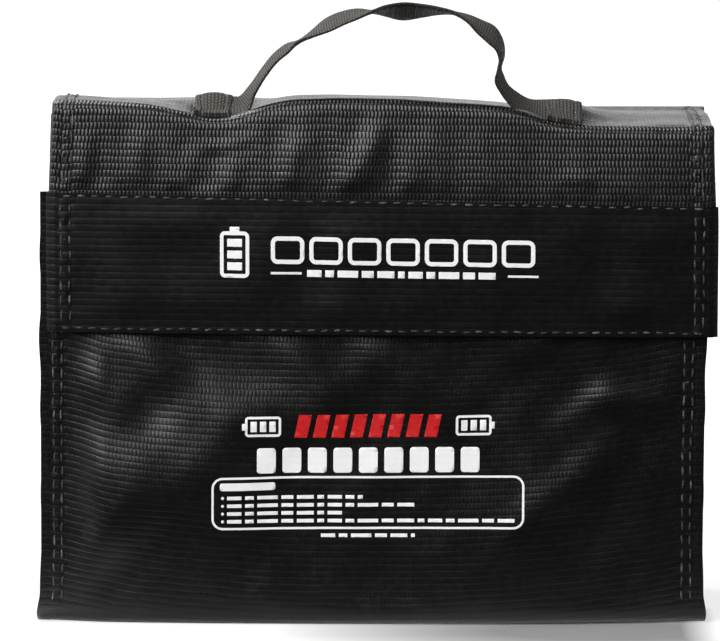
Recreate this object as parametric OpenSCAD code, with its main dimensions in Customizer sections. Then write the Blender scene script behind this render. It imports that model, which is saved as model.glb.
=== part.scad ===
// Soft safety bag for storing and charging battery packs: a boxy body of coated
// cloth, a lid that folds back along its rear edge, a front flap held shut by
// hook and loop strips, and a webbing carry handle stitched to the lid.
// Millimetres. X runs across the front, +Y to the back and +Z up. The origin is
// the middle of the bottom face. Left is -X, as seen from the front.

/* [Body] */
// Width over the side seams
bag_w = 240; // [210:1:320]
// Depth from the front cloth to the back cloth
bag_d = 65; // [56:1:90]
// Height to the rear edge of the lid
bag_h = 182; // [170:1:240]
// How far the mouth of the front panel lies below the lid's edge
mouth_drop = 23.5; // [14:0.5:26]
// Outer radius of the folds along the bottom
fold_r = 6; // [4:0.5:10]
// Width of the pinched seams down the four corners
seam_w = 9; // [8.5:0.5:12]

/* [Cloth] */
// Thickness of the coated outer cloth
cloth_t = 0.8; // [0.6:0.1:1]
// Thickness of the inner lining
lining_t = 0.5; // [0.3:0.1:0.7]
// How far the binding reaches down from the mouth
binding_h = 9; // [6:1:10]
// How far a line of thread stands out of the cloth
thread_t = 0.3; // [0.2:0.05:0.4]

/* [Lid and flap] */
// Rise of the lid's middle above its edges
lid_crown = 5; // [3:0.5:7]
// How far the lid and flap sit to the right of the body
lid_shift = 3; // [0:0.5:4]
// Height of the whole flap, from the front fold to its free edge
flap_drop = 74.5; // [70:0.5:78]
// Height of the band sewn over the lower flap
band_h = 47.5; // [42:0.5:48]

/* [Closure] */
// Height of the hook and loop strips
strip_h = 30; // [20:1:32]
// Thickness of each strip
strip_t = 1; // [0.8:0.1:1.2]
// Distance from each end of a strip to the body's side
strip_inset = 16; // [14:1:30]

/* [Handle] */
// Width of the webbing
strap_w = 20; // [16:1:22]
// Thickness of the webbing
strap_t = 1.4; // [1:0.1:1.6]
// Clear span between the two stitched strap ends
grip_span = 114.5; // [100:0.5:120]
// Height of the handle above its pivot line
handle_rise = 34; // [30:1:45]
// Length of each stitched strap end
end_l = 13; // [10:1:16]
// Distance from the front fold back to the middle of the webbing
handle_inset = 18; // [17:1:24]

/* [Hidden] */
$fn = 96;

// Distance by which parts of different moving bodies stay apart
gap = 0.3;
// Rows of thread in a side seam or hem, measured in from the cloth's edge
thread_rows = [4.7, 7.6];
thread_w = 0.8;
thread_end_gap = 2;

// Body
half_w = bag_w / 2;
half_d = bag_d / 2;
mouth_z = bag_h - mouth_drop;
back_top = bag_h - cloth_t - lining_t - 0.4;
web_x = half_w - seam_w;
inner_x = web_x - cloth_t;
binding_t = 0.5;

// Stack of layers in front of the body, counted outwards from the front cloth
loop_y = half_d + strip_t + gap;
flap_lining_y = loop_y + strip_t;
flap_cloth_y = flap_lining_y + lining_t;
fold_y = -(flap_cloth_y + cloth_t);

// Lid: a shallow arc from the front fold to the rear edge
lid_x0 = lid_shift - half_w;
lid_x1 = lid_shift + half_w;
lid_span = half_d - fold_y;
lid_mid_y = (half_d + fold_y) / 2;
lid_r = (pow(lid_span / 2, 2) + pow(lid_crown, 2)) / (2 * lid_crown);
lid_centre_z = bag_h + lid_crown - lid_r;
lid_cut_z = bag_h - 3;

// Flap
flap_z0 = bag_h - flap_drop;
flap_top = bag_h - cloth_t - 0.5;
flap_lining_top = flap_top - 2.2;
band_top = flap_z0 + band_h;
band_shift = 0;
strip_z0 = flap_z0 + 5;

// Handle: pivot line, stitched ends and the strap's route between them
handle_y = fold_y + handle_inset;
handle_mid_x = lid_shift + 3.5;
pivot_rise = 4;
pivot_z = lid_centre_z + sqrt(pow(lid_r, 2) - pow(handle_y - lid_mid_y, 2)) + pivot_rise;
root_half_w = 2.4;
taper_rise = 17;
tack_w = 1.6;
tack_inset = 2;
// The slack strap leans to one side: shares of the half span and of the rise
handle_shape = [
    [-0.98, 0.02], [-0.85, 0.24], [-0.66, 0.60], [-0.45, 0.80],
    [-0.20, 0.94], [0.12, 1.00], [0.42, 0.94], [0.64, 0.80],
    [0.72, 0.58], [0.70, 0.32], [0.77, 0.10], [0.92, 0.02],
];

// Printed graphics: plain blocks and bars, with no lettering
ink_t = 0.12;
line_w = 0.8;
graphic_x = -1.5;
cell_count = 9;
charge_count = 8;
word_lengths = [5.2, 3.1, 7.4, 4.3, 6.1, 2.4];
word_gap = 1.3;
notice_line_lengths = [49, 68, 42, 104];
// Heights of the front graphic's rows
charge_z = 73.7;
cell_z = 61.2;
notice_z = 45.7;
heading_z = 51.9;
first_line_z = 47.8;
line_pitch = 2.9;
footer_z = 33.7;
// Heights of the flap graphic's rows
badge_z = 135.2;
flap_cell_z = 137;
flap_words_z = 129;

// ---------------------------------------------------------------- helpers

// A plain block between two corners
module block(low, high) {
    translate(low) cube(high - low);
}

// Extrudes a side profile, drawn as (Y, Z), from x0 to x1
module across(x0, x1) {
    translate([x0, 0, 0])
        rotate([90, 0, 90])
            linear_extrude(x1 - x0) children();
}

// Extrudes a front view, drawn as (X, Z), forwards from the plane Y = y
module in_front_of(y, thickness) {
    translate([0, y, 0])
        rotate([90, 0, 0])
            linear_extrude(thickness) children();
}

module rounded_rect(w, h, r) {
    translate([-w / 2 + r, -h / 2]) square([w - 2 * r, h]);
    translate([-w / 2, -h / 2 + r]) square([w, h - 2 * r]);
    for (sx = [-1, 1], sz = [-1, 1])
        translate([sx * (w / 2 - r), sz * (h / 2 - r)]) circle(r, $fn = 24);
}

module rounded_frame(w, h, r, line) {
    difference() {
        rounded_rect(w, h, r);
        rounded_rect(w - 2 * line, h - 2 * line, r - line);
    }
}

// ---------------------------------------------------------------- body

// Side profile of the body with rounded bottom folds, shrunk by inset
module body_profile(inset) {
    translate([-half_d + inset, fold_r])
        square([bag_d - 2 * inset, bag_h - fold_r]);
    translate([-half_d + fold_r, inset])
        square([bag_d - 2 * fold_r, fold_r]);
    for (side = [-1, 1])
        translate([side * (half_d - fold_r), fold_r]) circle(fold_r - inset);
}

// The U-shaped layer of the profile that lies between two insets
module body_layer(outer, inner) {
    difference() {
        body_profile(outer);
        body_profile(inner);
        translate([-half_d + inner, bag_h - 1]) square([bag_d - 2 * inner, 2]);
    }
}

// Keeps what lies below the sloping top edge of the gussets
module below_mouth() {
    intersection() {
        children();
        polygon([
            [-bag_d, 0], [-bag_d, mouth_z], [-half_d, mouth_z],
            [half_d, back_top], [bag_d, back_top], [bag_d, 0],
        ]);
    }
}

// A layer's stretch across the front or the back, above the bottom fold
module upright_layer(side, outer, inner, top) {
    y_out = side * (half_d - outer);
    y_in = side * (half_d - inner);
    translate([min(y_out, y_in), fold_r]) square([inner - outer, top - fold_r]);
}

// A layer's bottom stretch, with both folds
module base_layer(outer, inner) {
    intersection() {
        body_layer(outer, inner);
        translate([-half_d, 0]) square([bag_d, fold_r]);
    }
}

module front_panel() {
    color("#1b1b1c") across(-half_w, half_w) upright_layer(-1, 0, cloth_t, mouth_z);
}

module base_panel() {
    color("#1b1b1c") across(-half_w, half_w) base_layer(0, cloth_t);
}

module back_panel() {
    color("#1b1b1c") across(-half_w, half_w) upright_layer(1, 0, cloth_t, back_top);
}

// Side wall with its edges turned outwards into the pinched seams
module right_side_wall() {
    across(inner_x, web_x) below_mouth() body_profile(cloth_t);
    across(web_x, half_w) below_mouth() body_layer(cloth_t, 2 * cloth_t);
}

module left_gusset() {
    color("#202021") mirror([1, 0, 0]) right_side_wall();
}

module right_gusset() {
    color("#202021") right_side_wall();
}

module front_lining() {
    color("#8f8f88") across(-inner_x, inner_x)
        upright_layer(-1, cloth_t, cloth_t + lining_t, mouth_z);
}

module base_lining() {
    color("#8f8f88") across(-inner_x, inner_x) base_layer(cloth_t, cloth_t + lining_t);
}

module back_lining() {
    color("#8f8f88") across(-inner_x, inner_x)
        upright_layer(1, cloth_t, cloth_t + lining_t, back_top);
}

module right_wall_lining() {
    across(inner_x - lining_t, inner_x) below_mouth() body_profile(cloth_t + lining_t);
}

module left_lining() {
    color("#99998f") mirror([1, 0, 0]) right_wall_lining();
}

module right_lining() {
    color("#99998f") right_wall_lining();
}

// Tape folded over the mouth of the front panel and its lining
module mouth_binding() {
    covered_t = cloth_t + lining_t;
    color("#111112") across(-inner_x + lining_t, inner_x - lining_t)
        translate([-half_d - binding_t, mouth_z - binding_h])
            difference() {
                square([covered_t + 2 * binding_t, binding_h + binding_t]);
                translate([binding_t, 0]) square([covered_t, binding_h]);
            }
}

module hook_strip() {
    strip_x = half_w - strip_inset;
    color("#0c0c0c") block(
        [-strip_x, -half_d - strip_t, strip_z0],
        [strip_x, -half_d, strip_z0 + strip_h]
    );
}

// Two upright rows of thread in one side seam, on the front and on the back
module right_seam_rows() {
    low = fold_r + thread_end_gap;
    for (row = thread_rows) {
        x = half_w - row - thread_w / 2;
        block([x, -half_d - thread_t, low], [x + thread_w, -half_d, mouth_z - thread_end_gap]);
        block([x, half_d, low], [x + thread_w, half_d + thread_t, back_top - thread_end_gap]);
    }
}

module left_seam_thread() {
    color("#4a4a48") mirror([1, 0, 0]) right_seam_rows();
}

module right_seam_thread() {
    color("#4a4a48") right_seam_rows();
}

// ---------------------------------------------------------------- graphics

// Where word number i of a line starts
function word_start(i) =
    i == 0 ? 0 : word_start(i - 1) + word_lengths[(i - 1) % len(word_lengths)] + word_gap;

// A line of plain bars with word-like lengths, which starts at X = 0
module word_bars(length, height) {
    words = [for (i = [0:40]) if (word_start(i) + word_gap < length) i];
    for (i = words) {
        start = word_start(i);
        end = min(start + word_lengths[i % len(word_lengths)], length);
        translate([start, -height / 2]) square([end - start, height]);
    }
}

// A battery outline lying on its side, with three bars of charge
module battery_icon(w, h, line) {
    bar_pitch = (w - 2 * line) / 3.3;
    rounded_frame(w, h, 1.4 * line, line);
    translate([w / 2, -h / 6]) square([line * 1.2, h / 3]);
    for (i = [-1, 0, 1])
        translate([i * bar_pitch - bar_pitch / 3, -h / 2 + 2 * line])
            square([bar_pitch / 1.5, h - 4 * line]);
}

module cell_blocks() {
    pitch = 9.2;
    for (i = [0:cell_count - 1])
        translate([(i - (cell_count - 1) / 2) * pitch, cell_z]) rounded_rect(6.8, 9.2, 1.2);
}

module notice_panel() {
    frame_w = 113;
    left = -frame_w / 2 + 4;
    translate([0, notice_z]) rounded_frame(frame_w, 19.4, 4, line_w);
    translate([left + 9, heading_z]) rounded_rect(20, 2.8, 0.9);
    for (i = [0:len(notice_line_lengths) - 1])
        translate([left, first_line_z - i * line_pitch]) {
            circle(0.55, $fn = 16);
            translate([1.6, 0]) word_bars(notice_line_lengths[i], 1.3);
        }
}

module front_graphic() {
    icon_x = 38;
    color("#f2f2f2") in_front_of(-half_d, ink_t) translate([graphic_x, 0]) {
        cell_blocks();
        notice_panel();
        translate([-17, footer_z]) word_bars(34, 1.3);
        for (side = [-1, 1])
            translate([side * icon_x, charge_z]) mirror([side > 0 ? 0 : 1, 0]) battery_icon(13, 7.4, 0.9);
    }
}

// A row of slanted charge blocks
module front_accent() {
    pitch = 6.7;
    block_w = 4.6;
    block_h = 8.4;
    slant = 1.8;
    color("#e0211d") in_front_of(-half_d, ink_t)
        for (i = [0:charge_count - 1])
            translate([graphic_x + (i - charge_count / 2) * pitch, charge_z - block_h / 2])
                polygon([[0, 0], [block_w, 0], [block_w + slant, block_h], [slant, block_h]]);
}

module flap_cells() {
    count = 7;
    pitch = 13.8;
    for (i = [0:count - 1]) translate([i * pitch, 0]) rounded_frame(12, 9.6, 2.4, 1.5);
}

module flap_graphic() {
    badge_x = -50;
    first_cell_x = -31;
    words_x = -24;
    words_l = 70;
    dash_l = 11;
    color("#f2f2f2") in_front_of(fold_y - cloth_t, ink_t) {
        translate([badge_x, badge_z]) rotate(90) battery_icon(16, 10.5, 1.3);
        translate([first_cell_x, flap_cell_z]) flap_cells();
        translate([words_x, flap_words_z]) word_bars(words_l, 2.4);
        for (x = [words_x - 2 - dash_l, words_x + words_l + 2])
            translate([x, flap_words_z - line_w / 2]) square([dash_l, line_w]);
    }
}

// ---------------------------------------------------------------- lid

// Side profile of one curved layer on the lid: from rise above the outer
// surface up by thickness, between two places in Y
module lid_layer(rise, thickness, y0, y1) {
    intersection() {
        translate([lid_mid_y, lid_centre_z]) difference() {
            circle(lid_r + rise + thickness, $fn = 360);
            circle(lid_r + rise, $fn = 360);
        }
        translate([y0, lid_cut_z]) square([y1 - y0, lid_crown + 20]);
    }
}

module lid_panel() {
    color("#1b1b1c") across(lid_x0, lid_x1) lid_layer(-cloth_t, cloth_t, fold_y, half_d);
}

module lid_lining() {
    color("#8f8f88") across(lid_x0 + cloth_t, lid_x1 - cloth_t)
        lid_layer(-cloth_t - lining_t, lining_t, fold_y + cloth_t, half_d - cloth_t);
}

// Two rows of thread along each side hem of the lid
module lid_edge_thread() {
    color("#4a4a48") for (row = thread_rows, x = [lid_x0 + row, lid_x1 - row])
        across(x - thread_w / 2, x + thread_w / 2)
            lid_layer(0, thread_t, fold_y + thread_end_gap, half_d - thread_end_gap);
}

// X of a stitched strap end's middle
function strap_end_x(side) = handle_mid_x + side * (grip_span + end_l) / 2;

// The end of the webbing, folded double and lying on the lid
module strap_end(side) {
    x = strap_end_x(side);
    color("#34342f") across(x - end_l / 2, x + end_l / 2)
        lid_layer(0, 2 * strap_t, handle_y - strap_w / 2, handle_y + strap_w / 2);
}

// Two dense rows of thread across a strap end
module bar_tacks(side) {
    half_y = strap_w / 2 - tack_inset;
    color("#26261f") for (end = [-1, 1]) {
        x = strap_end_x(side) + end * (end_l / 2 - tack_inset);
        across(x - tack_w / 2, x + tack_w / 2)
            lid_layer(2 * strap_t, thread_t, handle_y - half_y, handle_y + half_y);
    }
}

module left_strap_end() {
    strap_end(-1);
}

module right_strap_end() {
    strap_end(1);
}

module left_bar_tacks() {
    bar_tacks(-1);
}

module right_bar_tacks() {
    bar_tacks(1);
}

// ---------------------------------------------------------------- flap

module flap_panel() {
    color("#1b1b1c") block([lid_x0, fold_y, flap_z0], [lid_x1, fold_y + cloth_t, flap_top]);
}

module flap_lining() {
    color("#8f8f88") block(
        [lid_x0 + cloth_t, -flap_cloth_y, flap_z0 + cloth_t],
        [lid_x1 - cloth_t, -flap_lining_y, flap_lining_top]
    );
}

// Second layer of coated cloth over the lower flap
module flap_band() {
    color("#161617") block(
        [lid_x0 + band_shift, fold_y - cloth_t, flap_z0],
        [lid_x1 + band_shift, fold_y, band_top]
    );
}

module loop_strip() {
    strip_x = half_w - strip_inset;
    color("#2b2b2b") block(
        [-strip_x, -flap_lining_y, strip_z0],
        [strip_x, -loop_y, strip_z0 + strip_h]
    );
}

// Two upright rows of thread in each side hem above the band
module flap_edge_thread() {
    color("#4a4a48") for (row = thread_rows, x = [lid_x0 + row, lid_x1 - row])
        block(
            [x - thread_w / 2, fold_y - thread_t, band_top],
            [x + thread_w / 2, fold_y, flap_top - thread_end_gap]
        );
}

// Rows of thread round the band: one along the top, one along the free edge and
// two down each side
module band_thread() {
    y0 = fold_y - cloth_t - thread_t;
    y1 = fold_y - cloth_t;
    x0 = lid_x0 + band_shift;
    x1 = lid_x1 + band_shift;
    side_inset = thread_rows[1] + thread_w;
    color("#55554f") {
        for (z = [flap_z0 + 1.2, band_top - 1.2 - thread_w])
            block([x0 + side_inset, y0, z], [x1 - side_inset, y1, z + thread_w]);
        for (row = thread_rows, x = [x0 + row, x1 - row])
            block(
                [x - thread_w / 2, y0, flap_z0 + thread_end_gap],
                [x + thread_w / 2, y1, band_top - thread_end_gap]
            );
    }
}

// ---------------------------------------------------------------- handle

// Smooth curve through a list of points
function curve_point(a, b, c, d, t) =
    0.5 * (2 * b + (c - a) * t + (2 * a - 5 * b + 4 * c - d) * t * t + (3 * b - a - 3 * c + d) * t * t * t);

function smooth_path(points, steps) =
    let (last = len(points) - 1)
    concat(
        [
            for (i = [0:last - 1], s = [0:steps - 1])
                curve_point(
                    points[max(i - 1, 0)], points[i], points[i + 1],
                    points[min(i + 2, last)], s / steps
                )
        ],
        [points[last]]
    );

// Unit vector square to the path at point i
function path_normal(path, i) =
    let (t = path[min(i + 1, len(path) - 1)] - path[max(i - 1, 0)])
    [-t.y, t.x] / norm(t);

// Front view of the strap's arch, as (X, height above the pivot)
module strap_outline() {
    route = smooth_path(
        [for (p = handle_shape) [handle_mid_x + p.x * grip_span / 2, p.y * handle_rise]], 6
    );
    top = [for (i = [0:len(route) - 1]) route[i] + path_normal(route, i) * strap_t / 2];
    under = [for (i = [len(route) - 1:-1:0]) route[i] - path_normal(route, i) * strap_t / 2];
    polygon(concat(top, under));
}

// The strap narrows towards its pivot, where the webbing gathers, so that it can
// swing either way without touching the lid
module strap_side() {
    half = strap_w / 2;
    above = handle_rise * 2;
    polygon([
        [-root_half_w, 0], [root_half_w, 0], [half, taper_rise],
        [half, above], [-half, above], [-half, taper_rise],
    ]);
}

module handle_strap() {
    color("#34342f") translate([0, handle_y, pivot_z]) intersection() {
        in_front_of(strap_w / 2, strap_w) strap_outline();
        across(-half_w, half_w) strap_side();
    }
}

// ---------------------------------------------------------------- output

front_panel();
base_panel();
back_panel();
left_gusset();
right_gusset();
front_lining();
base_lining();
back_lining();
left_lining();
right_lining();
mouth_binding();
hook_strip();
left_seam_thread();
right_seam_thread();
front_graphic();
front_accent();
lid_panel();
lid_lining();
lid_edge_thread();
left_strap_end();
right_strap_end();
left_bar_tacks();
right_bar_tacks();
flap_panel();
flap_lining();
flap_band();
loop_strip();
flap_edge_thread();
band_thread();
flap_graphic();
handle_strap();
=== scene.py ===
"""Looks of the battery safety bag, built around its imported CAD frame.

Shapes are worked out in millimetres in the frame's own axes (X across the front, +Y to the
back, +Z up) and turned into metres when a mesh is made. Each piece of cloth is sampled once
on a grid, and everything that lies on it (lining, prints, strips, thread) reads that grid.
"""

import math

import bmesh
import bpy
import numpy as np
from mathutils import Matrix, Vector


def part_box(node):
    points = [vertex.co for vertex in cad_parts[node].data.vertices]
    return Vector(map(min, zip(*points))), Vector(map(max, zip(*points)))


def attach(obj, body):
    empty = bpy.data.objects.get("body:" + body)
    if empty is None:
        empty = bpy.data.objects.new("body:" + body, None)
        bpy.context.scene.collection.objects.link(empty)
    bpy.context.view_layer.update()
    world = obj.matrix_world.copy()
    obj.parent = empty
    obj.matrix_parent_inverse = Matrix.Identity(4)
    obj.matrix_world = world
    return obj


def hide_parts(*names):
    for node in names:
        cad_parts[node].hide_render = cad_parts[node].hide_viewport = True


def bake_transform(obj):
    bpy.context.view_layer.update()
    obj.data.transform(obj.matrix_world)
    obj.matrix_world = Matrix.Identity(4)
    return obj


MM = 0.001
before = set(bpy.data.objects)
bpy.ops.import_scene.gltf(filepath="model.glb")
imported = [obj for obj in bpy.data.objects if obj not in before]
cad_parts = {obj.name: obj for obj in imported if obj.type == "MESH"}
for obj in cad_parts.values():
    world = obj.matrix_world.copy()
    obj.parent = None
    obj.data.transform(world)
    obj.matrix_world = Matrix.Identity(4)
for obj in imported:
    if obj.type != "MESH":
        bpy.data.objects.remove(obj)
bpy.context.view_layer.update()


def box_mm(node):
    """Lowest and highest corner of a CAD node, in millimetres."""
    low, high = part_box(node)
    return np.array(low) / MM, np.array(high) / MM


# ------------------------------------------------------------------ sizes, from the frame
front_low, front_high = box_mm("front_panel")
_, back_high = box_mm("back_panel")
_, base_high = box_mm("base_panel")
gusset_low, _ = box_mm("right_gusset")
lining_low, lining_high = box_mm("front_lining")
binding_low, binding_high = box_mm("mouth_binding")
hook_low, hook_high = box_mm("hook_strip")
loop_low, loop_high = box_mm("loop_strip")
flap_low, _ = box_mm("flap_panel")
band_low, band_high = box_mm("flap_band")
lid_low, lid_high = box_mm("lid_panel")
left_end_low, left_end_high = box_mm("left_strap_end")
right_end_low, right_end_high = box_mm("right_strap_end")
_, handle_high = box_mm("handle_strap")

HALF_W = front_high[0]
FRONT_Y = front_low[1]
BACK_Y = back_high[1]
MOUTH_Z = front_high[2]
FOLD_R = base_high[2]
CLOTH = front_high[1] - front_low[1]
LINING = lining_high[1] - lining_low[1]
RIM_Z = back_high[2] + CLOTH + LINING + 0.4
INNER_X = gusset_low[0]
WEB_X = INNER_X + CLOTH
FLAP_Y = flap_low[1]
FLAP_Z = flap_low[2]
BAND_H = band_high[2] - band_low[2]
LID_X = (lid_low[0] + lid_high[0]) / 2
BAND_X = (band_low[0] + band_high[0]) / 2
STRAP_W = left_end_high[1] - left_end_low[1]
STRAP_T = 1.4
# Insets of the two rows of thread from a side edge, the length taken up by a stitch, how
# far a hem curls in, and the gap left between cloths that lie on each other.
THREAD_ROWS = (4.7, 7.6)
STITCH = 5.0
HEM_IN = 1.8
GAP = 0.05
# How far the weave stands out where cloth is pulled taut and where two layers are sewn flat.
TAUT = 0.36
SEWN_FLAT = 0.12
# Spacing of the grid points that make up a cloth, and the angle of an edge kept sharp.
STEP = 1.5
SHARP = 40


# ------------------------------------------------------------------ small maths
def smooth(low, high, x):
    """0 below low, 1 above high and an even S between them."""
    t = np.clip((x - low) / (high - low), 0, 1)
    return t * t * (3 - 2 * t)


def bell(x, middle, width):
    """A soft bump, 1 at middle."""
    return np.exp(-(((x - middle) / width) ** 2))


def ripple(a, b, pitch, seed, waves=7):
    """Smooth seeded unevenness of about -1 to 1, with features pitch apart."""
    draw = np.random.default_rng(seed)
    total = 0
    for _ in range(waves):
        angle = draw.uniform(0, math.tau)
        count = math.tau / pitch * draw.uniform(0.6, 1.5)
        phase = draw.uniform(0, math.tau)
        total = total + np.sin(count * (a * math.cos(angle) + b * math.sin(angle)) + phase)
    return total / math.sqrt(waves)


def crease(a, b, start, end, width, height, fade=0.5):
    """A soft ridge along the line from start to end, or a valley if height is negative."""
    run = np.subtract(end, start)
    length = math.hypot(*run)
    along = ((a - start[0]) * run[0] + (b - start[1]) * run[1]) / length**2
    across = ((a - start[0]) * run[1] - (b - start[1]) * run[0]) / length
    return height * np.exp(-((across / width) ** 2)) * np.exp(-(((along - 0.5) / fade) ** 4))


def creases(a, b, lines):
    """Several creases together, each given by its start, end, width and height."""
    return sum(crease(a, b, *line) for line in lines)


def trace(points, step):
    """A polyline's points about step apart, with the distance along it."""
    points = np.array(points, float)
    far = np.concatenate([[0], np.cumsum(np.linalg.norm(np.diff(points, axis=0), axis=1))])
    at = np.linspace(0, far[-1], int(round(far[-1] / step)) + 1)
    return at, np.stack([np.interp(at, far, points[:, i]) for i in range(points.shape[1])], axis=1)


def arc(centre, radius, start, end, count=13):
    """Points of a circular arc, angles in degrees."""
    angles = np.radians(np.linspace(start, end, count))
    return [(centre[0] + radius * math.cos(t), centre[1] + radius * math.sin(t)) for t in angles]


def eased(far, values, at):
    """A smooth curve through values at the places far, read at other places."""
    slope = np.gradient(values, far)
    i = np.clip(np.searchsorted(far, at, side="right") - 1, 0, len(far) - 2)
    h = far[i + 1] - far[i]
    t = np.clip((at - far[i]) / h, 0, 1)
    start = (2 * t**3 - 3 * t**2 + 1) * values[i] + (t**3 - 2 * t**2 + t) * h * slope[i]
    return start + (3 * t**2 - 2 * t**3) * values[i + 1] + (t**3 - t**2) * h * slope[i + 1]


def unit(vectors):
    """The same directions with length 1."""
    return vectors / np.maximum(np.linalg.norm(vectors, axis=-1, keepdims=True), 1e-9)


# ------------------------------------------------------------------ meshes
def dress(name, mesh, weave, relief, sharp, material):
    """Make an object of a mesh: smooth shading, its material and its place in the cloth."""
    place = np.full((len(weave), 3), relief, np.float32)
    place[:, :2] = weave
    mesh.attributes.new("cloth", "FLOAT_VECTOR", "POINT").data.foreach_set("vector", place.ravel())
    mesh.shade_smooth()
    mesh.set_sharp_from_angle(angle=math.radians(sharp))
    mesh.materials.clear()
    mesh.materials.append(material)
    mesh.validate()
    obj = bpy.data.objects.new(name, mesh)
    bpy.context.scene.collection.objects.link(obj)
    return obj


def make_mesh(name, points, quads, weave, material, sharp=SHARP, relief=1.0):
    """A smooth mesh object in metres.

    weave is each point's place in the cloth, in mm, and relief how strongly the weave stands
    out, from 0, pulled flat, to 1. Edges sharper than sharp, in degrees, stay sharp.
    """
    mesh = bpy.data.meshes.new(name)
    mesh.vertices.add(len(points))
    mesh.vertices.foreach_set("co", (np.asarray(points) * MM).astype(np.float32).ravel())
    quads = np.asarray(quads, np.int32)
    mesh.loops.add(quads.size)
    mesh.loops.foreach_set("vertex_index", quads.ravel())
    mesh.polygons.add(len(quads))
    mesh.polygons.foreach_set("loop_start", np.arange(0, quads.size, 4, dtype=np.int32))
    mesh.update(calc_edges=True)
    return dress(name, mesh, weave, relief, sharp, material)


def grid_quads(rows, columns, offset=0, flip=False):
    """Faces between neighbouring points of a grid stored row by row."""
    i, j = np.meshgrid(np.arange(rows - 1), np.arange(columns - 1), indexing="ij")
    a = (i * columns + j + offset).ravel()
    faces = np.stack([a, a + columns, a + columns + 1, a + 1], axis=1)
    return faces[:, ::-1] if flip else faces


def closed_sheet(name, top, bottom, weave, material, relief=1.0):
    """A sheet of cloth between two grids of points, shut round its edges."""
    rows, columns = top.shape[:2]
    count = rows * columns
    index = np.arange(count).reshape(rows, columns)
    sides = [index[0, ::-1], index[:, 0], index[-1, :], index[::-1, -1]]
    quads = [grid_quads(rows, columns), grid_quads(rows, columns, count, flip=True)]
    for side in sides:
        a, b = side[:-1], side[1:]
        quads.append(np.stack([a, b, b + count, a + count], axis=1))
    points = np.concatenate([top.reshape(-1, 3), bottom.reshape(-1, 3)])
    places = np.concatenate([weave.reshape(-1, 2)] * 2)
    return make_mesh(name, points, np.concatenate(quads), places, material, relief=relief)


class Cloth:
    """One face of a cloth on a grid. u runs across (+X) and v along, and u x v points out."""

    def __init__(self, u, v, points):
        self.u = np.asarray(u, float)
        self.v = np.asarray(v, float)
        normals = unit(np.cross(np.gradient(points, axis=0), np.gradient(points, axis=1)))
        steps = np.linalg.norm(np.diff(points, axis=1), axis=2)
        length = np.concatenate([np.zeros((len(self.u), 1)), np.cumsum(steps, axis=1)], axis=1)
        across = np.broadcast_to(self.u[:, None], length.shape)
        self.table = np.concatenate(
            [points, normals, across[..., None], length[..., None]], axis=2
        )

    def read(self, u, v):
        """Points, normals and weave places at these places, between the grid's own."""
        found = []
        for axis, value in ((self.u, u), (self.v, v)):
            value = np.clip(value, axis[0], axis[-1])
            low = np.clip(np.searchsorted(axis, value, side="right") - 1, 0, len(axis) - 2)
            found.append((low, ((value - axis[low]) / (axis[low + 1] - axis[low]))[..., None]))
        (i, s), (j, t) = found
        table = self.table
        near = table[i, j] * (1 - s) + table[i + 1, j] * s
        far = table[i, j + 1] * (1 - s) + table[i + 1, j + 1] * s
        mixed = near * (1 - t) + far * t
        return mixed[..., :3], unit(mixed[..., 3:6]), mixed[..., 6:]

    def at(self, u, v, height=0.0):
        """Points this far above the cloth."""
        points, normals, _ = self.read(u, v)
        return points + normals * np.asarray(height)[..., None]

    def layer(self, name, us, vs, top, bottom, material, relief=1.0):
        """A sheet that follows this cloth, between two heights above it."""
        u, v = np.meshgrid(us, vs, indexing="ij")
        points, normals, weave = self.read(u, v)
        upper = points + normals * np.broadcast_to(top, u.shape)[..., None]
        lower = points + normals * np.broadcast_to(bottom, u.shape)[..., None]
        return closed_sheet(name, upper, lower, weave, material, relief)


def between(values, low, high, least=0.2):
    """Grid values from low to high, with both ends and none closer to them than least."""
    inside = values[(values > low + least) & (values < high - least)]
    return np.concatenate([[low], inside, [high]])


def spread(low, high, step=STEP):
    """Even grid values from low to high, about step apart."""
    return np.linspace(low, high, int(round(abs(high - low) / step)) + 1)


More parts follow.
